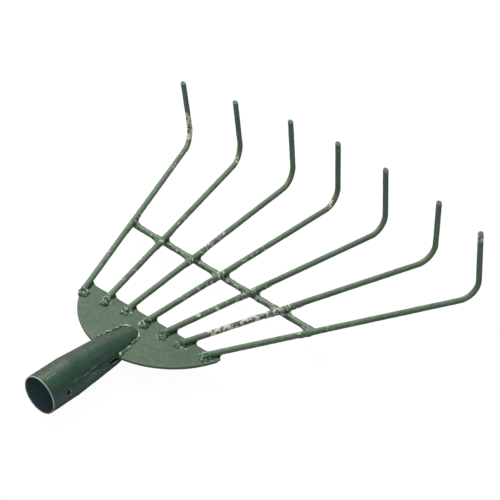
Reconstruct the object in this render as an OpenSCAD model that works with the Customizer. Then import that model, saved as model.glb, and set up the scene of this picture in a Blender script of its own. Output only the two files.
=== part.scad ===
// Welded fan rake head: a tapered tube socket, a half-moon plate, seven bent
// round tines and a crossbar, all joined by hand-laid weld.
// Millimetres. The origin is the centre of the socket's mouth, +Y runs along
// the socket towards the tines and +Z is the side that the tines bend to.

/* [Socket] */
// Outside diameter of the tube at its straight mouth
mouth_d = 38; // [34:0.5:42]
// Wall thickness of the tube
tube_wall = 1.5; // [1:0.1:2.5]
// Length of the straight mouth that the handle fills
mouth_len = 34; // [28:1:40]
// Width of the flattened tube where it reaches the plate
edge_w = 34; // [30:0.5:36]
// Height of the flattened tube where it reaches the plate
edge_h = 28; // [24:0.5:32]
// Distance from the mouth to the start of the rounded nose
nose_start = 110; // [104:1:112]
// Width of the flattened tube where its nose starts
nose_w = 24.6; // [20:0.2:28]
// Height of the flattened tube where its nose starts
nose_h = 19; // [17:0.5:22]
// Length of the rounded nose
nose_len = 10.5; // [6:0.5:11]
// Length of slot left open behind the plate
slot_run = 9; // [3:1:12]

/* [Handle screw hole] */
// Diameter of the hole in the side of the socket
screw_d = 4.5; // [3:0.5:6]
// Distance of the hole from the mouth
screw_y = 18.5; // [12:0.5:22]
// Angle of the hole above the horizontal
screw_tilt = 8; // [0:1:30]

/* [Plate] */
// Distance from the mouth to the plate's straight front edge
front_y = 141.5; // [140:0.5:146]
// Radius of the plate's curved rear edge
plate_r = 90; // [88:1:92]
// Distance from the straight edge forward to the centre of the curve
arc_lead = 28.5; // [27:0.5:30]
// Thickness of the plate
plate_t = 3; // [2:0.5:4]
// Height of the plate's top face above the socket's axis
plate_top = 4; // [3:0.5:6]
// Angle that the straight edge is out of square
front_skew = 1; // [0:0.5:2]
// Width of the snip across the plate's right-hand corner
corner_snip = 5.5; // [3:0.5:9]

/* [Tines] */
// Diameter of the rod that the tines are cut from
rod_d = 5.8; // [4:0.1:6.5]
// Sideways place of each tine at the plate's front edge, left to right
tine_x = [-81, -51.5, -24.5, 1.5, 26.5, 49.5, 77]; // [-82:0.5:80]
// Splay of each tine away from the socket's axis
tine_splay = [-21.8, -14.5, -5.5, 1.5, 10, 19, 28]; // [-28:0.1:28]
// Length of each tine from the plate's front edge to its bend
tine_reach = [271.5, 274, 271.5, 271.5, 271.5, 276, 273]; // [220:0.5:320]
// Length of each tine that lies on the plate
tine_lap = [17, 12, 9, 10, 11, 9, 8]; // [7:1:20]
// Length of each bent end, from the corner of the bend to the tip
tip_len = [77.5, 73.5, 78, 78, 77, 75, 78]; // [50:0.5:110]
// Sideways lean of each tine's bent end
tine_lean = [-6, -5, -2.5, 0, -0.5, 4, 0]; // [-8:0.5:8]
// Angle that each tine's end is bent through
bend_angle = 97; // [80:1:110]
// Radius of the bend, on the rod's centreline
bend_r = 18; // [8:1:25]
// Angle of the sheared cut across each tip
tip_slant = 25; // [0:5:40]

/* [Crossbar] */
// Diameter of the crossbar
bar_d = 6.2; // [4:0.1:7]
// Distance from the mouth to the crossbar, on the socket's axis
bar_y = 238; // [200:1:300]
// Angle that the crossbar is out of square
bar_skew = -1.3; // [-3:0.1:3]
// Length of crossbar past the centre of the left-hand tine
bar_left_run = 0.5; // [0:0.5:4]
// Distance that the crossbar stops short of the centre of the right-hand tine
bar_right_gap = 5; // [3.5:0.5:5.5]

/* [Welds] */
// Depth that a tine is fused into the plate and the crossbar
fusion = 0.4; // [0.2:0.1:0.8]
// Radius of the weld over each tine's end on the plate
end_weld_r = 4.8; // [4:0.2:6]
// Radius of the tail that the weld leaves on the plate
tail_weld_r = 3.6; // [2.6:0.2:3.8]
// Radius of the weld at each crossing of tine and crossbar
bar_weld_r = 4.4; // [4:0.2:5]
// Radius of the bead along each side of the socket
bead_r = 2.2; // [1.4:0.2:3]

/* [Hidden] */
$fn = 64;
eps = 0.01;
fine = 96;
rod_r = rod_d / 2;
bar_r = bar_d / 2;
mouth_r = mouth_d / 2;
bore_d = mouth_d - 2 * tube_wall;
bore_step = 0.5;
taper_lap = 1;
nose_turn = 14;
plate_low = plate_top - plate_t;
plate_back = front_y + arc_lead - plate_r;
plate_corner_x = sqrt(plate_r * plate_r - arc_lead * arc_lead);
tine_z = plate_top + rod_r - fusion;
bar_z = plate_top - bar_r;
bend_tangent = bend_r * tan(bend_angle / 2);
bend_swell = 0.06;
bend_overlap = 0.5;
cut_size = 4 * rod_d;
room = 400;
end_weld_lift = 0.6;
tail_step = [2, 6.5, 5, 5.5, 4.4, 4.4, 4.6];
tail_drift = [3.5, 0.5, 1.5, 3.5, 3.5, 3.5, 3.5];
bar_weld_back = 1.2;
bar_weld_side = [1.8, 0, 0, 0, 0, 0, -4];
bead_start = plate_back + 4;
bead_end = nose_start - 1;
tube_green = [0.22, 0.29, 0.25];
plate_green = [0.36, 0.45, 0.38];
tine_green = [0.31, 0.37, 0.29];
weld_green = [0.33, 0.42, 0.34];
tine_count = len(tine_x);

// Width and height of the flattened tube at a place along the plate
function tube_w(y) = edge_w + (nose_w - edge_w) * (y - plate_back) / (nose_start - plate_back);
function tube_h(y) = edge_h + (nose_h - edge_h) * (y - plate_back) / (nose_start - plate_back);

// Half width of the tube where it meets the plate's top face
function lip_x(y) = tube_w(y) / 2 * sqrt(1 - pow(2 * plate_top / tube_h(y), 2));

// Sideways place of a tine where it crosses the crossbar
function cross_x(k) = (tine_x[k] + (bar_y - front_y) * tan(tine_splay[k]))
    / (1 - tan(tine_splay[k]) * tan(bar_skew));

// The crossing's distance from the mouth
function cross_y(k) = bar_y + cross_x(k) * tan(bar_skew);

// A thin oval slice across the socket's axis
module slice(y, w, h) {
    translate([0, y, 0])
        rotate([-90, 0, 0])
            scale([w, h, 1])
                cylinder(h = eps, d = 1, $fn = fine);
}

// The tube from start to its nose as a solid: round as far as the mouth's end, then
// flattened, and drawn in by inset all round
module tube_form(start, start_d, inset) {
    drop = 2 * inset;
    hull() {
        translate([0, start, 0])
            rotate([-90, 0, 0])
                cylinder(h = mouth_len - start, d = start_d, $fn = fine);
        slice(plate_back, edge_w - drop, edge_h - drop);
        for (turn = [0 : nose_turn : 5 * nose_turn])
            slice(nose_start + (nose_len - inset) * sin(turn),
                (nose_w - drop) * cos(turn), (nose_h - drop) * cos(turn));
        slice(nose_start + nose_len - inset, 2, 2);
    }
}

// Everything below the plate's top face
module below_plate_top() {
    translate([-room / 2, 0, plate_top - room])
        cube([room, room, room]);
}

// Slot across the nose of the tube that the plate slides into
module plate_slot() {
    translate([-mouth_r, plate_back - slot_run, plate_low])
        cube([mouth_d, room, plate_t]);
}

// The handle's seat, reamed a little wider than the tube beyond it
module handle_bore() {
    translate([0, -eps, 0])
        rotate([-90, 0, 0])
            cylinder(h = mouth_len + eps, d = bore_d);
}

module screw_hole() {
    translate([0, screw_y, 0])
        rotate([0, 90 - screw_tilt, 0])
            cylinder(h = mouth_d, d = screw_d);
}

module socket() {
    color(tube_green)
        difference() {
            tube_form(0, mouth_d, 0);
            tube_form(mouth_len - taper_lap, bore_d - bore_step, tube_wall);
            handle_bore();
            plate_slot();
            screw_hole();
        }
}

// Moves to a tine's own place: its centreline runs along +Y from the plate's front edge
module on_tine(k) {
    translate([tine_x[k], front_y, tine_z])
        rotate([0, 0, -tine_splay[k]])
            children();
}

// The straight shank of a tine, from the plate into the start of its bend
module tine_shank(k) {
    on_tine(k)
        translate([0, -tine_lap[k], 0])
            rotate([-90, 0, 0])
                cylinder(h = tine_lap[k] + tine_reach[k] - bend_tangent + bend_overlap, r = rod_r);
}

// The bend, a little swollen by bending, and the sheared tip
module tine_hook(tip_straight) {
    translate([0, 0, bend_r]) {
        rotate([0, 90, 0])
            rotate_extrude(angle = bend_angle)
                translate([bend_r, 0])
                    circle(r = rod_r + bend_swell);
        rotate([bend_angle, 0, 0])
            translate([0, 0, -bend_r])
                difference() {
                    translate([0, -bend_overlap, 0])
                        rotate([-90, 0, 0])
                            cylinder(h = tip_straight + rod_d, r = rod_r);
                    translate([0, tip_straight, 0])
                        rotate([0, 0, -tip_slant])
                            translate([-cut_size / 2, 0, -cut_size / 2])
                                cube(cut_size);
                }
    }
}

module tine(k) {
    color(tine_green) {
        tine_shank(k);
        on_tine(k)
            rotate([0, tine_lean[k], 0])
                translate([0, tine_reach[k] - bend_tangent, 0])
                    tine_hook(tip_len[k] - bend_tangent);
    }
}

// The straight edge, a little out of square
module front_cut() {
    translate([0, front_y, plate_low - eps])
        rotate([0, 0, front_skew])
            translate([-room / 2, 0, 0])
                cube([room, room, plate_t + 2 * eps]);
}

module corner_cut() {
    translate([plate_corner_x, front_y + plate_corner_x * tan(front_skew), plate_low - eps])
        rotate([0, 0, 45])
            translate([-corner_snip / 2, -corner_snip / 2, 0])
                cube([corner_snip, corner_snip, plate_t + 2 * eps]);
}

module plate() {
    color(plate_green)
        difference() {
            translate([0, front_y + arc_lead, plate_low])
                cylinder(h = plate_t, r = plate_r, $fn = 128);
            front_cut();
            corner_cut();
            for (k = [0 : tine_count - 1])
                tine_shank(k);
        }
}

module bar_form() {
    left = cross_x(0) - bar_left_run;
    right = cross_x(tine_count - 1) - bar_right_gap;
    translate([0, bar_y, bar_z])
        rotate([0, 0, bar_skew])
            translate([left, 0, 0])
                rotate([0, 90, 0])
                    cylinder(h = right - left, r = bar_r);
}

module crossbar() {
    color(tine_green)
        difference() {
            bar_form();
            for (k = [0 : tine_count - 1])
                tine_shank(k);
        }
}

// A drop of weld on a flat face, its middle lifted above the face
module weld_drop(r, lift) {
    rotate_extrude()
        intersection() {
            translate([0, lift])
                circle(r = r);
            square(2 * r);
        }
}

// Weld over the end of a tine, with the tail it leaves on the plate
module end_weld(k) {
    color(weld_green)
        difference() {
            on_tine(k)
                translate([0, -tine_lap[k], plate_top - tine_z]) {
                    weld_drop(end_weld_r, end_weld_lift);
                    translate([tail_drift[k], -tail_step[k], 0])
                        weld_drop(tail_weld_r, 0);
                }
            tine_shank(k);
        }
}

// Weld in the corners where a tine lies across the crossbar. The sphere is turned so
// that its seam stays clear of the bar's end.
module bar_weld(k) {
    color(weld_green)
        difference() {
            translate([cross_x(k) + bar_weld_side[k], cross_y(k) - bar_weld_back, plate_top])
                rotate([0, 0, 90])
                    sphere(r = bar_weld_r);
            bar_form();
            tine_shank(k);
        }
}

// Bead along the right-hand lip of the socket, on the plate's top face
module bead() {
    run = bead_end - bead_start;
    drift = lip_x(bead_start) - lip_x(bead_end);
    difference() {
        translate([lip_x(bead_start), bead_start, plate_top])
            rotate([0, 0, atan(drift / run)]) {
                rotate([-90, 0, 0])
                    cylinder(h = norm([run, drift]), r = bead_r);
                sphere(r = bead_r);
                translate([0, norm([run, drift]), 0])
                    sphere(r = bead_r);
            }
        tube_form(0, mouth_d, 0);
        below_plate_top();
    }
}

module socket_bead_right() {
    color(weld_green)
        bead();
}

module socket_bead_left() {
    color(weld_green)
        mirror([1, 0, 0])
            bead();
}

socket();
plate();
tine(0);  // tine_1
tine(1);  // tine_2
tine(2);  // tine_3
tine(3);  // tine_4
tine(4);  // tine_5
tine(5);  // tine_6
tine(6);  // tine_7
crossbar();
end_weld(0);  // end_weld_1
end_weld(1);  // end_weld_2
end_weld(2);  // end_weld_3
end_weld(3);  // end_weld_4
end_weld(4);  // end_weld_5
end_weld(5);  // end_weld_6
end_weld(6);  // end_weld_7
bar_weld(0);  // bar_weld_1
bar_weld(1);  // bar_weld_2
bar_weld(2);  // bar_weld_3
bar_weld(3);  // bar_weld_4
bar_weld(4);  // bar_weld_5
bar_weld(5);  // bar_weld_6
bar_weld(6);  // bar_weld_7
socket_bead_left();
socket_bead_right();
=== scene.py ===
"""Looks for a welded fan rake head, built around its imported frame. Metres throughout."""
import math

import bpy
import numpy as np
from mathutils import Matrix, Vector
from mathutils.bvhtree import BVHTree


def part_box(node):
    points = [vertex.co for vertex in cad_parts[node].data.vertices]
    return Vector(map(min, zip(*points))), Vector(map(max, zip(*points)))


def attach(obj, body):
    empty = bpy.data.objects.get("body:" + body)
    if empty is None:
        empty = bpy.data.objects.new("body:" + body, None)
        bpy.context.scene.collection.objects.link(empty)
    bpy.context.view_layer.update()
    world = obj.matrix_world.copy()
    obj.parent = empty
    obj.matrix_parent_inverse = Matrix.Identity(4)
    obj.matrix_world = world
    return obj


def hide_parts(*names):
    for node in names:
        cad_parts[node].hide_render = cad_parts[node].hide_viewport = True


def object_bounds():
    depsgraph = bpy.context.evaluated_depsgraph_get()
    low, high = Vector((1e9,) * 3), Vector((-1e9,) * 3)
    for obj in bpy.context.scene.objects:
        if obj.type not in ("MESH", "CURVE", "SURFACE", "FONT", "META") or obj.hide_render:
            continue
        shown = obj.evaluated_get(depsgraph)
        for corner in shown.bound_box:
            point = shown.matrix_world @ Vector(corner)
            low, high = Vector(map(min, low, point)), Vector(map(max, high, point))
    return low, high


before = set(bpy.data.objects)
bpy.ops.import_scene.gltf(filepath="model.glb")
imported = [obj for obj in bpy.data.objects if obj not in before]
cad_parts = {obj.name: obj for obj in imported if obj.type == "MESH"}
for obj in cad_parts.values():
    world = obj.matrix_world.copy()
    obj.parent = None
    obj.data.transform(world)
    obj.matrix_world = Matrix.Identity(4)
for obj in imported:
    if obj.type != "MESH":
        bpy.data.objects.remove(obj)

MM = 0.001
WELD_CELL = 0.4 * MM
TINES = range(1, 8)
BODY = "root"
cad_low, cad_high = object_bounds()


# ---------------------------------------------------------------- frame sizes

def tree_of(node):
    """Search tree over a CAD node's faces."""
    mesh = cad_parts[node].data
    faces = [tuple(face.vertices) for face in mesh.polygons]
    return BVHTree.FromPolygons([v.co for v in mesh.vertices], faces)


def span(tree, start, way):
    """Where a line through start along way first and last meets a node."""
    way = Vector(way)
    start = Vector(start)
    first = tree.ray_cast(start - way, way)[0]
    last = tree.ray_cast(start + way, -way)[0]
    return first, last


def tine_axis(k):
    """The middle of a tine's end on the plate, and the unit direction of its straight part."""
    name = f"tine_{k}"
    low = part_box(name)[0]
    tree = tree_of(name)
    height = low.z + ROD_R
    points = []
    near, far = 6 * MM, 120 * MM
    for run in (near, far):
        left, right = span(tree, (0, low.y + run, height), (1, 0, 0))
        points.append((left + right) / 2)
    way = (points[1] - points[0]).normalized()
    end_y = low.y + ROD_R * abs(way.x)
    start = points[0] + way * (end_y - points[0].y) / way.y
    return np.array(start), np.array(way)


def rod_radius():
    """Half the height of the middle tine, a little way along it."""
    tree = tree_of("tine_4")
    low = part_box("tine_4")[0]
    left, right = span(tree, (0, low.y + 60 * MM, low.z + 2 * MM), (1, 0, 0))
    bottom, top = span(tree, (left + right) / 2, (0, 0, 1))
    return (top.z - bottom.z) / 2


def bar_axis():
    """A point on the crossbar's axis at x = 0, and its unit direction."""
    low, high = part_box("crossbar")
    tree = tree_of("crossbar")
    height = (low.z + high.z) / 2
    points = []
    for x in (-60 * MM, 60 * MM):
        back, front = span(tree, (x, 0, height), (0, 1, 0))
        points.append((back + front) / 2)
    way = (points[1] - points[0]).normalized()
    return np.array((points[0] + points[1]) / 2), np.array(way)


def plate_front():
    """Place of the plate's straight edge at x = 0, and its slope."""
    tree = tree_of("plate")
    height = PLATE_TOP - PLATE_T / 2
    out = 40 * MM
    left, right = (span(tree, (x, 0, height), (0, 1, 0))[1].y for x in (-out, out))
    return (left + right) / 2, (right - left) / (2 * out)


def plate_arc():
    """Radius of the plate's curved rear edge, and the Y of its centre."""
    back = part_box("plate")[0].y
    depth = 30 * MM
    side = span(tree_of("plate"), (0, back + depth, PLATE_TOP - PLATE_T / 2), (1, 0, 0))[1].x
    radius = (side ** 2 + depth ** 2) / (2 * depth)
    return radius, back + radius


ROD_R = rod_radius()
BAR_R = (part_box("crossbar")[1].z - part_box("crossbar")[0].z) / 2
PLATE_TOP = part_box("plate")[1].z
PLATE_T = PLATE_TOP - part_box("plate")[0].z
TUBE_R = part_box("socket")[1].x
FRONT_Y, FRONT_SLOPE = plate_front()
ARC_R, ARC_Y = plate_arc()
TINE_AXES = {k: tine_axis(k) for k in TINES}
BAR_MIDDLE, BAR_WAY = bar_axis()
BAR_ENDS = (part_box("crossbar")[0].x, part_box("crossbar")[1].x)


def crossing(k):
    """Where a tine passes over the crossbar, at the tine's height."""
    start, way = TINE_AXES[k]
    across = np.array([BAR_WAY[1], -BAR_WAY[0], 0])
    run = (BAR_MIDDLE - start) @ across / (way @ across)
    return start + run * way


# ------------------------------------------------------------- distance fields

def lattice_noise(points, size, seed):
    """Smooth random values from -1 to 1 at points, with lumps about size across."""
    side = 32
    table = np.random.default_rng(seed).uniform(-1, 1, (side, side, side))
    scaled = points / size
    cell = np.floor(scaled).astype(int)
    part = scaled - cell
    part = part * part * (3 - 2 * part)
    total = 0
    for corner in np.ndindex(2, 2, 2):
        spot = (cell + corner) % side
        share = np.prod(np.where(corner, part, 1 - part), axis=-1)
        total = total + share * table[spot[..., 0], spot[..., 1], spot[..., 2]]
    return total


def ridges(points, size, seed):
    """Random values from -1 to 1 at points, with sharp crests about size apart."""
    return 1 - 2 * np.abs(lattice_noise(points, size, seed))


def rod_field(points, start, end, radius):
    """Distance from a round-ended rod."""
    run = end - start
    along = np.clip((points - start) @ run / (run @ run), 0, 1)
    return np.linalg.norm(points - start - along[..., None] * run, axis=-1) - radius


def ball_field(points, middle, radius):
    """Distance from a ball."""
    return np.linalg.norm(points - middle, axis=-1) - radius


def ahead_of_plate(points):
    """Distance in front of the plate's straight edge, along Y."""
    return points[..., 1] - FRONT_Y - FRONT_SLOPE * points[..., 0]


def arc_field(points):
    """Distance outside the plate's curved rear edge, seen from above."""
    return np.hypot(points[..., 0], points[..., 1] - ARC_Y) - ARC_R


def plate_field(points):
    """Distance from the plate."""
    high = np.abs(points[..., 2] - PLATE_TOP + PLATE_T / 2) - PLATE_T / 2
    ahead = ahead_of_plate(points)
    outside = np.hypot(np.maximum(high, 0), np.maximum(ahead, 0))
    flat = outside + np.minimum(np.maximum(high, ahead), 0)
    return np.maximum(flat, arc_field(points))


def blend_fields(one, other, reach):
    """Union of two fields with a concave fillet about reach wide between them."""
    near = np.maximum(reach - np.abs(one - other), 0) / reach
    return np.minimum(one, other) - near * near * reach / 4


def skin(field, low, high, cell):
    """Vertices and outward quads of the surface where field passes through zero. Each cell that
    the surface crosses gets one vertex, in the middle of its crossed edges."""
    axes = [np.arange(a, b + cell, cell) for a, b in zip(low, high)]
    spots = np.stack(np.meshgrid(*axes, indexing="ij"), -1)
    value = field(spots)
    cells = tuple(n - 1 for n in value.shape)
    total = np.zeros(cells + (3,))
    count = np.zeros(cells)
    turns = [(0, 1, 2), (1, 2, 0), (2, 0, 1)]
    edges = []
    for turn in turns:
        v = value.transpose(turn)
        s = spots.transpose(turn + (3,))
        cross = (v[:-1] < 0) != (v[1:] < 0)
        share = v[:-1] / np.where(cross, v[:-1] - v[1:], 1)
        place = s[:-1] + (share * cross)[..., None] * (s[1:] - s[:-1])
        sum_view = total.transpose(turn + (3,))
        count_view = count.transpose(turn)
        for j, k in np.ndindex(2, 2):
            part = np.s_[:, j:j + count_view.shape[1], k:k + count_view.shape[2]]
            count_view += cross[part]
            sum_view += place[part] * cross[part][..., None]
        edges.append((cross, v[:-1] < 0))
    found = count > 0
    index = np.full(cells, -1)
    index[found] = np.arange(found.sum())
    quads = []
    for turn, (cross, solid) in zip(turns, edges):
        ids = index.transpose(turn)
        i, j, k = np.nonzero(cross[:, 1:-1, 1:-1])
        ring = [ids[i, j, k], ids[i, j + 1, k], ids[i, j + 1, k + 1], ids[i, j, k + 1]]
        quad = np.stack(ring, -1)
        turned = ~solid[:, 1:-1, 1:-1][i, j, k]
        quad[turned] = quad[turned][:, ::-1]
        quads.append(quad)
    return total[found] / count[found][:, None], np.concatenate(quads)


def weld_piece(name, field, crest, low, high, material, node):
    """A solid made from a field, riding on the rake in place of a CAD node. crest gives the
    height of the weld's ripples at each point, for its painted highlights and shade."""
    verts, quads = skin(field, low, high, WELD_CELL)
    mesh = bpy.data.meshes.new(name)
    mesh.from_pydata(verts.tolist(), [], quads.tolist())
    ripples = mesh.attributes.new("crest", "FLOAT", "POINT")
    ripples.data.foreach_set("value", crest(verts))
    mesh.polygons.foreach_set("use_smooth", [True] * len(mesh.polygons))
    mesh.materials.append(material)
    piece = bpy.data.objects.new(name, mesh)
    bpy.context.scene.collection.objects.link(piece)
    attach(piece, BODY)
    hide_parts(node)


# ------------------------------------------------------------------- materials

def add_node(tree, kind, settings=None, **inputs):
    """A shader node. inputs are socket names with _ for a space, or in0, in1 by number."""
    made = tree.nodes.new("ShaderNode" + kind)
    for key, value in (settings or {}).items():
        setattr(made, key, value)
    for key, value in inputs.items():
        number = key[2:] if key.startswith("in") else ""
        socket = made.inputs[int(number) if number.isdigit() else key.replace("_", " ")]
        if isinstance(value, bpy.types.NodeSocket):
            tree.links.new(value, socket)
        else:
            socket.default_value = value
    return made


def math_node(tree, operation, one, other=0.0):
    """The result of one sum on two values."""
    return add_node(tree, "Math", {"operation": operation}, in0=one, in1=other).outputs[0]


def times(tree, *values):
    """The product of several values."""
    total = values[0]
    for value in values[1:]:
        total = math_node(tree, "MULTIPLY", total, value)
    return total


def ramp(tree, value, start, end, low=0.0, high=1.0):
    """value from start to end, eased to low to high and held there."""
    settings = {"interpolation_type": "SMOOTHSTEP"}
    made = add_node(
        tree, "MapRange", settings, in0=value, in1=start, in2=end, in3=low, in4=high)
    return made.outputs[0]


def mix(tree, share, one, other):
    """Colour one, turning into other as share goes to 1."""
    made = add_node(tree, "MixRGB", None, in0=share, in1=one, in2=other)
    return made.outputs[0]


def noise(tree, place, scale, detail=3.0, rough=0.5, warp=0.0):
    """Cloudy values of about 0.3 to 0.7, scale of them to a metre."""
    made = add_node(
        tree, "TexNoise", None,
        Vector=place, Scale=scale, Detail=detail, Roughness=rough, Distortion=warp)
    return made.outputs[0]


def stretched(tree, place, sizes):
    """Coordinates scaled by sizes, for streaks."""
    return add_node(tree, "Mapping", None, Vector=place, Scale=sizes).outputs[0]


def band(tree, value, start, end, soft):
    """1 between start and end, fading to 0 over soft outside them."""
    rise = ramp(tree, value, start - soft, start)
    fall = ramp(tree, value, end, end + soft, 1.0, 0.0)
    return times(tree, rise, fall)


def colour(red, green, blue):
    """An sRGB colour of 0 to 255 as linear light."""
    parts = [c / 255 for c in (red, green, blue)]
    linear = [c / 12.92 if c <= 0.04045 else ((c + 0.055) / 1.055) ** 2.4 for c in parts]
    return (*linear, 1.0)


BARE = colour(222, 222, 205)
# Painted shade for narrow gaps and crevices
GAP_SHADE = colour(10, 24, 17)
PALE_GREEN = colour(140, 158, 132)
BROWN_GREY = colour(112, 104, 94)
OLIVE = colour(112, 124, 88)
DEEP_GREEN = colour(36, 56, 44)

SOCKET_GREENS = colour(54, 88, 68), colour(44, 74, 62)
SOCKET_LIGHT = colour(72, 102, 78)
SOCKET_RUBBED = colour(108, 108, 96)
# Painted bluish shade for the tube's lower right
SOCKET_SHADED = colour(92, 112, 116)
SOCKET_SCRAPED = colour(128, 144, 152)
SOCKET_SCRATCH = colour(160, 174, 160)
SOCKET_WORN = colour(205, 216, 200)
SOCKET_INSIDE = colour(74, 96, 102)
SOCKET_RIM = colour(178, 194, 184)

PLATE_GREENS = colour(76, 105, 80), colour(66, 95, 74)
PLATE_CLOUDS = colour(88, 108, 86)
PLATE_SPECKS = colour(112, 134, 108)
PLATE_PITS = colour(56, 76, 64)

ROD_GREENS = colour(100, 126, 102), colour(86, 112, 90)
# Painted light for the upper side of the tines
ROD_LIT_TOP = colour(136, 158, 132)
ROD_LIGHT = colour(150, 168, 144)

BAR_GREENS = colour(100, 128, 100), colour(88, 112, 88)
# Painted light for the upper side of the crossbar
BAR_LIT_TOP = colour(132, 156, 126)
BAR_LIGHT = colour(150, 170, 140)

WELD_GREENS = colour(92, 120, 94), colour(80, 108, 84)
# Painted highlight for the weld's crests
WELD_CREST_HIGHLIGHTS = colour(205, 222, 198)


class Paint:
    """A dipped and brushed green paint: build it up, then finish it into a material."""

    PATCH_SCALE = 28
    GRAIN_SCALE = 900
    ROUGHNESS = (0.36, 0.54)
    CHIP_ROUGHNESS = (0.6, 0.6, 0.6, 1)
    SHINE = 0.36
    GAP_WIDTH = 9 * MM
    BUMP_HEIGHT = 0.25 * MM

    def __init__(self, name, greens, streak_sizes, seed):
        self.material = bpy.data.materials.new(name)
        self.material.use_nodes = True
        self.tree = self.material.node_tree
        self.tree.nodes.clear()
        true_place = add_node(self.tree, "TexCoord").outputs["Object"]
        # Shifted by the seed, so that no two paints share their marks
        self.place = stretched(self.tree, true_place, (1, 1, 1))
        self.place.node.inputs["Location"].default_value = (seed, seed, seed)
        split = add_node(self.tree, "SeparateXYZ", None, Vector=true_place)
        self.x, self.y, self.z = split.outputs
        geometry = add_node(self.tree, "NewGeometry")
        self.edge = geometry.outputs["Pointiness"]
        facing = add_node(self.tree, "SeparateXYZ", None, Vector=geometry.outputs["Normal"])
        self.side = facing.outputs[0]
        self.up = facing.outputs[2]
        main, deep = greens
        patches = noise(self.tree, self.place, self.PATCH_SCALE, detail=4, rough=0.6)
        self.shade = mix(self.tree, ramp(self.tree, patches, 0.36, 0.64), main, deep)
        brushed = stretched(self.tree, self.place, streak_sizes)
        self.streaks = noise(self.tree, brushed, 1, detail=4, rough=0.6)
        self.grain = noise(self.tree, self.place, self.GRAIN_SCALE, rough=0.6)
        self.rough = ramp(self.tree, self.streaks, 0.3, 0.7, *self.ROUGHNESS)
        self.height = math_node(self.tree, "MULTIPLY", self.streaks, 0.6)
        self.height = math_node(self.tree, "ADD", self.height, self.grain)

    def tint(self, share, other):
        """Turns the paint into another colour where share goes to 1."""
        self.shade = mix(self.tree, share, self.shade, other)

    def mottle(self, other, scale, detail, rough, start, end, amount):
        """Cloudy blotches of another colour, where the noise is past start, full from end."""
        clouds = noise(self.tree, self.place, scale, detail, rough)
        self.tint(ramp(self.tree, clouds, start, end, 0.0, amount), other)

    def streak(self, dark, light, amount):
        """Darker and lighter brush lines."""
        low = ramp(self.tree, self.streaks, 0.45, 0.3, 0.0, amount)
        high = ramp(self.tree, self.streaks, 0.55, 0.7, 0.0, amount)
        self.tint(low, dark)
        self.tint(high, light)

    def flecks(self, where, size, level, bare):
        """Places where the paint has flaked, kept to where. A lower level leaves less paint."""
        spots = noise(self.tree, self.place, 1 / size, detail=4, rough=0.6, warp=0.4)
        never = 0.98
        level = ramp(self.tree, where, 0.0, 1.0, never, level)
        over = math_node(self.tree, "SUBTRACT", spots, level)
        self.tint(ramp(self.tree, over, -0.05, -0.01, 0.0, 0.6), DEEP_GREEN)
        chip = ramp(self.tree, over, 0.0, 0.02)
        self.tint(chip, bare)
        self.rough = mix(self.tree, chip, self.rough, self.CHIP_ROUGHNESS)
        sunk_chip = math_node(self.tree, "MULTIPLY", chip, 1.2)
        self.height = math_node(self.tree, "SUBTRACT", self.height, sunk_chip)

    def edge_wear_and_highlight(self, worn, amount):
        """Paint rubbed thin along edges and crests; on the welds, a painted highlight along
        their crests.
        """
        rubbed = ramp(self.tree, self.edge, 0.512, 0.56, 0.0, amount)
        broken = ramp(self.tree, self.grain, 0.35, 0.6)
        self.tint(times(self.tree, rubbed, broken), worn)

    def finish(self, bump):
        """The material, with painted shade in every narrow gap."""
        open_air = add_node(
            self.tree, "AmbientOcclusion", {"samples": 8}, Distance=self.GAP_WIDTH)
        # Painted shade: colour darkened towards black-green wherever ambient occlusion finds a
        # narrow gap
        self.tint(ramp(self.tree, open_air.outputs["AO"], 0.8, 0.5, 0.0, 0.95), GAP_SHADE)
        bumped = add_node(
            self.tree, "Bump", None,
            Strength=bump, Distance=self.BUMP_HEIGHT, Height=self.height)
        shader = add_node(
            self.tree, "BsdfPrincipled", None,
            Base_Color=self.shade, Roughness=self.rough, Normal=bumped.outputs[0])
        shader.inputs["Specular IOR Level"].default_value = self.SHINE
        add_node(self.tree, "OutputMaterial", None, Surface=shader.outputs[0])
        return self.material


def rub_socket(paint, turn):
    """Brown stipple on the tube's upper left, where the brush or a hand has rubbed."""
    tree = paint.tree
    dots = noise(tree, stretched(tree, paint.place, (700, 260, 700)), 1, rough=0.7)
    patches = noise(tree, paint.place, 34, rough=0.6)
    upper_left = ramp(tree, turn, -0.6, -1.15, 0.0, 0.65)
    stipple = ramp(tree, dots, 0.4, 0.6)
    patchy = ramp(tree, patches, 0.34, 0.56, 0.25, 1.0)
    paint.tint(times(tree, stipple, patchy, upper_left), SOCKET_RUBBED)


def scrape_socket(paint, turn):
    """Pale lines scraped along the tube's lower right."""
    tree = paint.tree
    threads = noise(tree, stretched(tree, paint.place, (620, 70, 620)), 1, rough=0.6)
    lines = ramp(tree, threads, 0.52, 0.62)
    low_side = band(tree, turn, 0.3, 0.85, 0.15)
    run = band(tree, paint.y, 30 * MM, 62 * MM, 6 * MM)
    paint.tint(times(tree, lines, times(tree, low_side, run), 0.8), SOCKET_SCRAPED)


def scratch_socket(paint, turn):
    """One scratch near the mouth, on the upper left."""
    tree = paint.tree
    line = band(tree, turn, -0.72, -0.7, 0.03)
    run = band(tree, paint.y, 5 * MM, 15 * MM, 1.5 * MM)
    paint.tint(times(tree, times(tree, line, run), 0.5), SOCKET_SCRATCH)


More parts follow.
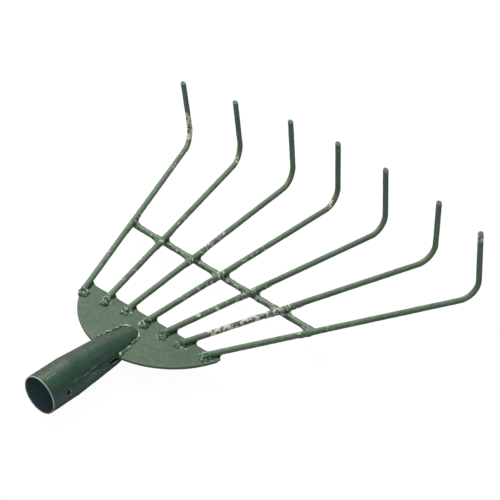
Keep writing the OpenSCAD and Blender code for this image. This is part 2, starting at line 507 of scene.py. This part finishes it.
def paint_socket_mouth(paint):
    """Blue-black inside the mouth, and a bright worn rim round it."""
    tree = paint.tree
    x_squared = math_node(tree, "POWER", paint.x, 2)
    z_squared = math_node(tree, "POWER", paint.z, 2)
    radius = math_node(tree, "SQRT", math_node(tree, "ADD", x_squared, z_squared))
    inside = times(
        tree, ramp(tree, radius, TUBE_R - 0.9 * MM, TUBE_R - 1.4 * MM),
        ramp(tree, paint.y, 0.3 * MM, 1.2 * MM), ramp(tree, paint.y, 40 * MM, 30 * MM))
    paint.tint(inside, SOCKET_INSIDE)
    rim = times(
        tree, ramp(tree, paint.y, 0.9 * MM, 0.3 * MM), ramp(tree, paint.z, -8 * MM, 4 * MM),
        ramp(tree, radius, TUBE_R - 1.3 * MM, TUBE_R - 0.8 * MM))
    paint.tint(rim, SOCKET_RIM)


def socket_paint():
    """Dark brushed green, rubbed brown-grey on the upper left, with painted bluish shade on the
    lower right.
    """
    paint = Paint("socket_paint", SOCKET_GREENS, streak_sizes=(160, 14, 160), seed=3.0)
    paint.streak(DEEP_GREEN, SOCKET_LIGHT, amount=0.55)
    # From -1.4 on the upper left to 1.4 on the lower right
    turn = math_node(paint.tree, "SUBTRACT", paint.side, paint.up)
    rub_socket(paint, turn)
    # Painted shade: bluish grey on the tube's lower right, the side turned away from the key
    # light
    paint.tint(ramp(paint.tree, turn, 0.35, 1.1, 0.0, 0.65), SOCKET_SHADED)
    scrape_socket(paint, turn)
    left_side = ramp(paint.tree, turn, 0.0, -0.7)
    paint.flecks(left_side, size=2 * MM, level=0.7, bare=PALE_GREEN)
    scratch_socket(paint, turn)
    paint.edge_wear_and_highlight(SOCKET_WORN, amount=0.8)
    paint_socket_mouth(paint)
    return paint.finish(bump=0.35)


def plate_paint():
    """Thinner grey-green paint on the flat plate."""
    paint = Paint("plate_paint", PLATE_GREENS, streak_sizes=(30, 30, 30), seed=11.0)
    paint.mottle(PLATE_CLOUDS, scale=60, detail=5, rough=0.65, start=0.42, end=0.7, amount=0.5)
    paint.mottle(PLATE_SPECKS, scale=260, detail=4, rough=0.7, start=0.5, end=0.68, amount=0.5)
    paint.mottle(PLATE_PITS, scale=170, detail=3, rough=0.6, start=0.54, end=0.7, amount=0.5)
    paint.mottle(BROWN_GREY, scale=45, detail=3, rough=0.5, start=0.55, end=0.75, amount=0.35)
    top = ramp(paint.tree, paint.up, 0.5, 0.9)
    paint.flecks(top, size=3 * MM, level=0.76, bare=PALE_GREEN)
    paint.edge_wear_and_highlight(PALE_GREEN, amount=0.5)
    return paint.finish(bump=0.2)


# Where each tine's paint has flaked: its run along Y from and to, in mm, and its level
FLAKED = {
    1: [(180, 210, 0.62), (330, 362, 0.57)],
    2: [(160, 195, 0.6), (262, 285, 0.58), (392, 404, 0.54)],
    3: [(245, 285, 0.56)],
    4: [(175, 230, 0.58), (262, 300, 0.57), (395, 404, 0.58)],
    5: [(165, 235, 0.58)],
    6: [(160, 242, 0.5)],
    7: [(195, 225, 0.62)],
}
# The same up a bent end, by height
FLAKED_TIP = {1: (14, 44, 0.45), 7: (76, 84, 0.48)}
FLAKE_SIZE = 4.2 * MM


def flake_tine(paint, k):
    """Bare patches on a tine's straight part and its bent end."""
    tree = paint.tree
    shank = ramp(tree, paint.z, 20 * MM, 15 * MM)
    for start, end, level in FLAKED[k]:
        run = band(tree, paint.y, start * MM, end * MM, 10 * MM)
        paint.flecks(times(tree, run, shank), FLAKE_SIZE, level, BARE)
    if k in FLAKED_TIP:
        start, end, level = FLAKED_TIP[k]
        run = band(tree, paint.z, start * MM, end * MM, 5 * MM)
        paint.flecks(run, FLAKE_SIZE, level, BARE)


def rod_paint(k):
    """Green paint on a tine, with painted light on its upper side, olive at the bend, flaked
    where it has been knocked.
    """
    paint = Paint(f"rod_paint_{k}", ROD_GREENS, streak_sizes=(320, 40, 320), seed=2.0 * k)
    tree = paint.tree
    # Painted light: the rod's upward-facing side tinted lighter
    paint.tint(ramp(tree, paint.up, 0.25, 0.85, 0.0, 0.4), ROD_LIT_TOP)
    paint.streak(DEEP_GREEN, ROD_LIGHT, amount=0.5)
    paint.mottle(BROWN_GREY, scale=35, detail=4, rough=0.6, start=0.5, end=0.68, amount=0.4)
    bend_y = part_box(f"tine_{k}")[1].y
    bend = band(tree, paint.y, bend_y - 22 * MM, bend_y - 6 * MM, 8 * MM)
    low_part = ramp(tree, paint.z, 30 * MM, 14 * MM)
    paint.tint(times(tree, bend, low_part, 0.45), OLIVE)
    flake_tine(paint, k)
    paint.edge_wear_and_highlight(PALE_GREEN, amount=0.5)
    return paint.finish(bump=0.35)


def bar_paint():
    """Green paint on the crossbar, with painted light on its upper side, olive in places, with
    small pale flecks on top.
    """
    paint = Paint("bar_paint", BAR_GREENS, streak_sizes=(40, 320, 320), seed=30.0)
    # Painted light: the bar's upward-facing side tinted lighter
    paint.tint(ramp(paint.tree, paint.up, 0.25, 0.85, 0.0, 0.4), BAR_LIT_TOP)
    paint.streak(DEEP_GREEN, BAR_LIGHT, amount=0.5)
    upper_half = ramp(paint.tree, paint.up, 0.0, 0.6)
    paint.flecks(upper_half, size=3 * MM, level=0.67, bare=PALE_GREEN)
    paint.mottle(OLIVE, scale=35, detail=4, rough=0.6, start=0.5, end=0.7, amount=0.5)
    paint.edge_wear_and_highlight(PALE_GREEN, amount=0.5)
    return paint.finish(bump=0.35)


def weld_paint():
    """Paint over rough weld: painted highlights on the crests, painted shade in the pits."""
    paint = Paint("weld_paint", WELD_GREENS, streak_sizes=(120, 120, 120), seed=50.0)
    crest = add_node(paint.tree, "Attribute", {"attribute_name": "crest"}).outputs["Fac"]
    # Painted highlight on the ripples' crests, and painted shade in their pits
    paint.tint(ramp(paint.tree, crest, 0.22, 0.5, 0.0, 0.9), WELD_CREST_HIGHLIGHTS)
    paint.tint(ramp(paint.tree, crest, -0.1, -0.45, 0.0, 0.7), DEEP_GREEN)
    # Painted highlight along the weld's sharpest crests
    paint.edge_wear_and_highlight(WELD_CREST_HIGHLIGHTS, amount=0.8)
    return paint.finish(bump=0.3)


# ------------------------------------------------------------ carried CAD nodes

VOXEL = 0.6 * MM
ROD_WAVES = {"wave": 0.35 * MM, "wave_size": 8 * MM}


def thick_paint(node, wave, wave_size):
    """Rounds a CAD node's edges and gives its surface waves, as thick paint has, wave high in
    all and about wave_size apart."""
    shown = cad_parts[node]
    remesh = shown.modifiers.new("even_faces", "REMESH")
    remesh.mode = "VOXEL"
    remesh.voxel_size = VOXEL
    remesh.use_smooth_shade = True
    smooth = shown.modifiers.new("rounded_edges", "SMOOTH")
    smooth.factor = 0.5
    smooth.iterations = 2
    texture = bpy.data.textures.new(node + "_waves", "CLOUDS")
    texture.noise_scale = wave_size
    texture.noise_depth = 2
    displace = shown.modifiers.new("uneven_paint", "DISPLACE")
    displace.texture = texture
    displace.texture_coords = "LOCAL"
    displace.strength = wave
    displace.mid_level = 0.5


def dress(node, material):
    """Gives a CAD node one material in all its slots."""
    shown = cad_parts[node]
    for place in shown.material_slots:
        place.material = material


def dress_frame():
    """Paints the tube, the plate and the rods."""
    thick_paint("socket", wave=0.25 * MM, wave_size=9 * MM)
    dress("socket", socket_paint())
    thick_paint("plate", wave=0.2 * MM, wave_size=12 * MM)
    dress("plate", plate_paint())
    for k in TINES:
        thick_paint(f"tine_{k}", **ROD_WAVES)
        dress(f"tine_{k}", rod_paint(k))
    thick_paint("crossbar", **ROD_WAVES)
    dress("crossbar", bar_paint())


# ----------------------------------------------------------------------- welds

SINK_DEPTH = 0.5 * MM
END_LUMPS = 10
END_REACH = 7 * MM
WEB_DEPTH = 2.4 * MM
WEB_LEFT = 2 * MM
WEB_RIGHT = 8 * MM
SADDLE_REACH = 22 * MM
SADDLE_HALF_DEPTH = 1.7 * MM
# Share of a rod's radius at which a web's edge is tucked in under the rod
TUCK = 0.7
SMALL_FLARE = 2.5 * MM
FRONT_FLARE = 7 * MM
HANDLE_FLARE = 18 * MM
# The outermost tines, where the crossbar ends
HANDLE_FLARE_AT = {1: 3 * MM, 7: 22 * MM}


def sunk(field, distance, reach):
    """The field drawn in below its surface towards reach, and closed there."""
    depth = np.clip(distance / reach, 0, 1) ** 2 * SINK_DEPTH
    return np.maximum(field + depth, distance - reach)


def corner_field(ahead, beside, radius):
    """Fillet in the corner that two straight edges make, seen from above."""
    return radius - np.hypot(np.maximum(radius - ahead, 0), np.maximum(radius - beside, 0))


def weld_box(middle, reach, bottom, top):
    """The corners of the space that a weld is worked out in."""
    low = middle - reach - 1.5 * MM
    high = middle + reach + 1.5 * MM
    low[2] = bottom - 2 * MM
    high[2] = top + 2 * MM
    return low, high


def side_of(way):
    """The level direction to the right of a way that points ahead."""
    return np.array([way[1], -way[0], 0])


def end_lumps(start, way, seed):
    """Balls of weld heaped round a tine's end, as their middles and radii."""
    random = np.random.default_rng(seed)
    ground = np.array([start[0], start[1], PLATE_TOP])
    lumps = [(start + way * 0.5 * MM, ROD_R + 0.5 * MM)]
    for _ in range(END_LUMPS):
        back = -way * random.uniform(-2.0, 6.0) * MM
        across = side_of(way) * random.uniform(-2.6, 4.8) * MM
        lift = np.array([0, 0, random.uniform(-0.6, 1.0) * MM])
        lumps.append((ground + back + across + lift, random.uniform(1.6, 3.2) * MM))
    return lumps


def plate_web(points, across):
    """Web in the corners of a tine and the plate's front edge, wider on the right."""
    ahead = ahead_of_plate(points)
    narrowing = np.clip(1 - ahead / (8 * MM), 0, 1)
    beside = np.abs(across) - 0.6 * ROD_R * narrowing
    corner = corner_field(ahead, beside, np.where(across > 0, WEB_RIGHT, WEB_LEFT))
    high = np.abs(points[..., 2] - PLATE_TOP + WEB_DEPTH / 2) - WEB_DEPTH / 2
    return np.maximum(np.maximum(corner, high), arc_field(points) + 0.3 * MM)


def end_weld(k, material):
    """Weld over a tine's end, and a web at the plate's level where the tine leaves it. It stays
    above the plate's lower face."""
    start, way = TINE_AXES[k]
    side = side_of(way)
    seed = 100 + k
    lumps = end_lumps(start, way, seed)
    rod_end = start + way * ROD_R
    ground = np.array([start[0], start[1], PLATE_TOP])
    edge_run = (FRONT_Y + FRONT_SLOPE * start[0] - start[1]) / way[1]
    middle = start + way * edge_run / 2
    half_run = edge_run / 2 + 9 * MM
    half_width = 11 * MM

    def crest(points):
        near_end = np.exp(-(np.linalg.norm(points - ground, axis=-1) / END_REACH) ** 2)
        coarse = ridges(points, 3.2 * MM, seed) * 0.75
        fine = lattice_noise(points, 1.4 * MM, seed) * 0.5
        return near_end * (coarse + fine)

    def field(points):
        rod = rod_field(points, rod_end, rod_end + way * 60 * MM, ROD_R)
        body = blend_fields(plate_field(points), rod, 1.4 * MM)
        for spot, size in lumps:
            body = blend_fields(body, ball_field(points, spot, size), 1.0 * MM)
        body = body - crest(points) * MM
        across = (points - start) @ side
        body = blend_fields(body, plate_web(points, across), 0.8 * MM)
        body = np.maximum(body, PLATE_TOP - WEB_DEPTH - points[..., 2])
        along = (points - middle) @ way / half_run
        upward = (points[..., 2] - PLATE_TOP) / half_width
        distance = np.sqrt(along ** 2 + (across / half_width) ** 2 + upward ** 2) * half_width
        return sunk(body, distance, half_width)

    reach = np.abs(way) * half_run + np.abs(side) * half_width
    low, high = weld_box(middle, reach, PLATE_TOP - PLATE_T, start[2] + ROD_R)
    name = f"end_weld_{k}_lumps"
    weld_piece(name, field, crest, low, high, material, f"end_weld_{k}")


def saddle_web(points, beside, beyond, below, above, flare):
    """Thin web in the four corners of a crossing. beside is the way right from the tine, and
    beyond the way ahead from the bar. It lies level with the bar, and climbs to the tine only
    close to it."""
    from_tine = np.abs(beside)
    from_bar = np.abs(beyond)
    radius = np.where((beside < 0) & (beyond < 0), flare, SMALL_FLARE)
    radius = np.where((beside > 0) & (beyond > 0), FRONT_FLARE, radius)
    corner = corner_field(from_bar - TUCK * BAR_R, from_tine - TUCK * ROD_R, radius)
    climb = np.clip(1 - from_tine / (7 * MM), 0, 1) * np.clip(from_bar / (5 * MM), 0, 1)
    level = below[2] + (above[2] - below[2]) * climb
    web = np.maximum(corner, np.abs(points[..., 2] - level) - SADDLE_HALF_DEPTH)
    past_end = np.maximum(points[..., 0] - BAR_ENDS[1], BAR_ENDS[0] - points[..., 0])
    return np.maximum(web, past_end - 2 * MM)


def bar_weld(k, material):
    """Weld where a tine crosses the crossbar: a saddle between the two rods, with its largest
    flare on the left towards the handle and a smaller one in the opposite corner."""
    start, way = TINE_AXES[k]
    above = crossing(k)
    below = np.array([above[0], above[1], BAR_MIDDLE[2]])
    middle = (above + below) / 2
    left = BAR_MIDDLE + BAR_WAY * (BAR_ENDS[0] + BAR_R) / BAR_WAY[0]
    right = BAR_MIDDLE + BAR_WAY * (BAR_ENDS[1] - BAR_R) / BAR_WAY[0]
    flare = HANDLE_FLARE_AT.get(k, HANDLE_FLARE)
    seed = 200 + k

    def crest(points):
        return lattice_noise(points, 2.6 * MM, seed) * 0.8

    def field(points):
        tine = rod_field(points, above - way * 50 * MM, above + way * 50 * MM, ROD_R)
        bar = rod_field(points, left, right, BAR_R)
        beside = (points - below) @ side_of(way)
        beyond = (points - below) @ -side_of(BAR_WAY)
        web = saddle_web(points, beside, beyond, below, above, flare)
        body = blend_fields(blend_fields(tine, bar, 2.0 * MM), web, 2.0 * MM)
        body = body - crest(points) * 0.4 * MM
        return sunk(body, np.linalg.norm(points - middle, axis=-1), SADDLE_REACH)

    low, high = weld_box(middle, SADDLE_REACH, BAR_MIDDLE[2] - BAR_R, above[2] + ROD_R)
    name = f"bar_weld_{k}_fillets"
    weld_piece(name, field, crest, low, high, material, f"bar_weld_{k}")


def bead_path(sign, first, last, stand_off):
    """Points along the tube's lip at the plate's top, stand_off out from its face."""
    tree = tree_of("socket")
    path = []
    for turn in np.linspace(0, math.pi / 2, 15):
        y = first + (last - first) * math.sin(turn)
        hit = tree.ray_cast(Vector((sign, y, PLATE_TOP)), Vector((-sign, 0, 0)))[0]
        if hit is not None:
            path.append(np.array([hit.x + sign * stand_off, y, PLATE_TOP]))
    return path


def socket_bead(hand, sign, stand_off, material):
    """A lumpy bead along one lip of the tube and round to the middle of its nose."""
    node = f"socket_bead_{hand}"
    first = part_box(node)[0].y + 2 * MM
    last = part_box("socket")[1].y - 0.5 * MM
    path = bead_path(sign, first, last, stand_off)
    seed = 300 + (sign > 0)

    def crest(points):
        fine = lattice_noise(points, 2.6 * MM, seed) * 0.5
        return fine + ridges(points, 3.6 * MM, seed) * 0.27

    def field(points):
        run = (points[..., 1] - first) / (last - first)
        thick = (1.9 - 0.9 * np.clip(run, 0, 1)) * MM
        body = np.full(points.shape[:-1], 1.0)
        for start, end in zip(path[:-1], path[1:]):
            body = np.minimum(body, rod_field(points, start, end, 0))
        return body - thick - crest(points) * 1.3 * MM

    low = np.min(path, axis=0) - 4 * MM
    high = np.max(path, axis=0) + 4 * MM
    name = f"socket_bead_{hand}_lumps"
    weld_piece(name, field, crest, low, high, material, node)


def add_welds():
    """All the welds, in one paint."""
    material = weld_paint()
    for k in TINES:
        end_weld(k, material)
        bar_weld(k, material)
    socket_bead("left", sign=-1, stand_off=1.4 * MM, material=material)
    socket_bead("right", sign=1, stand_off=0.3 * MM, material=material)


# ---------------------------------------------------------------------- studio

AIR_LIGHT = 0.34
KEY_LIGHT = {"place": (-0.9, 0.5, 1.6), "size": 0.6, "power": 26, "tint": (1, 0.99, 0.97)}
FILL_LIGHT = {"place": (0.5, -1.5, 0.6), "size": 1.0, "power": 7, "tint": (0.82, 0.92, 1)}
FLOOR_HALF = 6.0
FLOOR_GLOW = 0.96
# The floor's colour under its glow as the camera sees it, and for the light it throws back
FLOOR_SEEN = (0.08, 0.08, 0.08, 1)
FLOOR_THROWN = (0.35, 0.35, 0.36, 1)
WHITE = (1, 1, 1, 1)
CAMERA_PLACE = (0.72837, -0.62088, 0.86446)
CAMERA_YAW = 128.9
CAMERA_PITCH = 36.4
CAMERA_ROLL = 3.3
CAMERA_LENS = 104.4
CAMERA_SENSOR = 36


def floor_material():
    """White as the camera sees it, with faint shadows, and grey to the light it throws back."""
    material = bpy.data.materials.new("studio_floor")
    material.use_nodes = True
    tree = material.node_tree
    tree.nodes.clear()
    seen = add_node(tree, "BsdfDiffuse", None, Color=FLOOR_SEEN)
    glow = add_node(tree, "Emission", None, Color=WHITE, Strength=FLOOR_GLOW)
    seen_white = add_node(tree, "AddShader", None, in0=seen.outputs[0], in1=glow.outputs[0])
    thrown = add_node(tree, "BsdfDiffuse", None, Color=FLOOR_THROWN)
    path = add_node(tree, "LightPath")
    both = add_node(
        tree, "MixShader", None,
        in0=path.outputs["Is Camera Ray"], in1=thrown.outputs[0], in2=seen_white.outputs[0])
    add_node(tree, "OutputMaterial", None, Surface=both.outputs[0])
    return material


def add_floor():
    """A plain pale floor that the rake stands on."""
    half = FLOOR_HALF
    corners = [(-half, -half, 0), (half, -half, 0), (half, half, 0), (-half, half, 0)]
    mesh = bpy.data.meshes.new("floor")
    mesh.from_pydata(corners, [], [(0, 1, 2, 3)])
    mesh.materials.append(floor_material())
    floor = bpy.data.objects.new("floor", mesh)
    floor.location = (0, 0, cad_low.z)
    bpy.context.scene.collection.objects.link(floor)


def add_camera():
    """The camera, looking down on the rake from beyond its socket, to the right."""
    yaw = math.radians(CAMERA_YAW)
    pitch = math.radians(CAMERA_PITCH)
    roll = math.radians(CAMERA_ROLL)
    level = math.cos(pitch)
    ahead = Vector((math.cos(yaw) * level, math.sin(yaw) * level, -math.sin(pitch)))
    right = Vector((math.sin(yaw), -math.cos(yaw), 0))
    up = right.cross(ahead)
    turned_right = math.cos(roll) * right + math.sin(roll) * up
    turned_up = -math.sin(roll) * right + math.cos(roll) * up
    camera = bpy.data.objects.new("camera", bpy.data.cameras.new("camera"))
    bpy.context.scene.collection.objects.link(camera)
    turn = Matrix((turned_right, turned_up, -ahead)).transposed()
    camera.matrix_world = Matrix.Translation(CAMERA_PLACE) @ turn.to_4x4()
    camera.data.lens = CAMERA_LENS
    camera.data.sensor_width = CAMERA_SENSOR
    bpy.context.scene.camera = camera


def add_light(name, place, size, power, tint):
    """A square soft light at place, aimed at the middle of the rake."""
    middle = (cad_low + cad_high) / 2
    light = bpy.data.lights.new(name, "AREA")
    light.size = size
    light.energy = power
    light.color = tint
    lamp = bpy.data.objects.new(name, light)
    lamp.location = Vector(place)
    lamp.rotation_mode = "QUATERNION"
    lamp.rotation_quaternion = (Vector(place) - middle).to_track_quat("Z", "Y")
    bpy.context.scene.collection.objects.link(lamp)


def add_studio():
    """Even white air, a key light from the left and a weak cool light from the handle's side."""
    scene = bpy.context.scene
    scene.view_settings.view_transform = "Standard"
    world = bpy.data.worlds.new("studio_air")
    world.use_nodes = True
    air = world.node_tree.nodes["Background"]
    air.inputs["Color"].default_value = WHITE
    air.inputs["Strength"].default_value = AIR_LIGHT
    scene.world = world
    add_light("key_light", **KEY_LIGHT)
    add_light("fill_light", **FILL_LIGHT)


dress_frame()
add_welds()
add_floor()
add_camera()
add_studio()
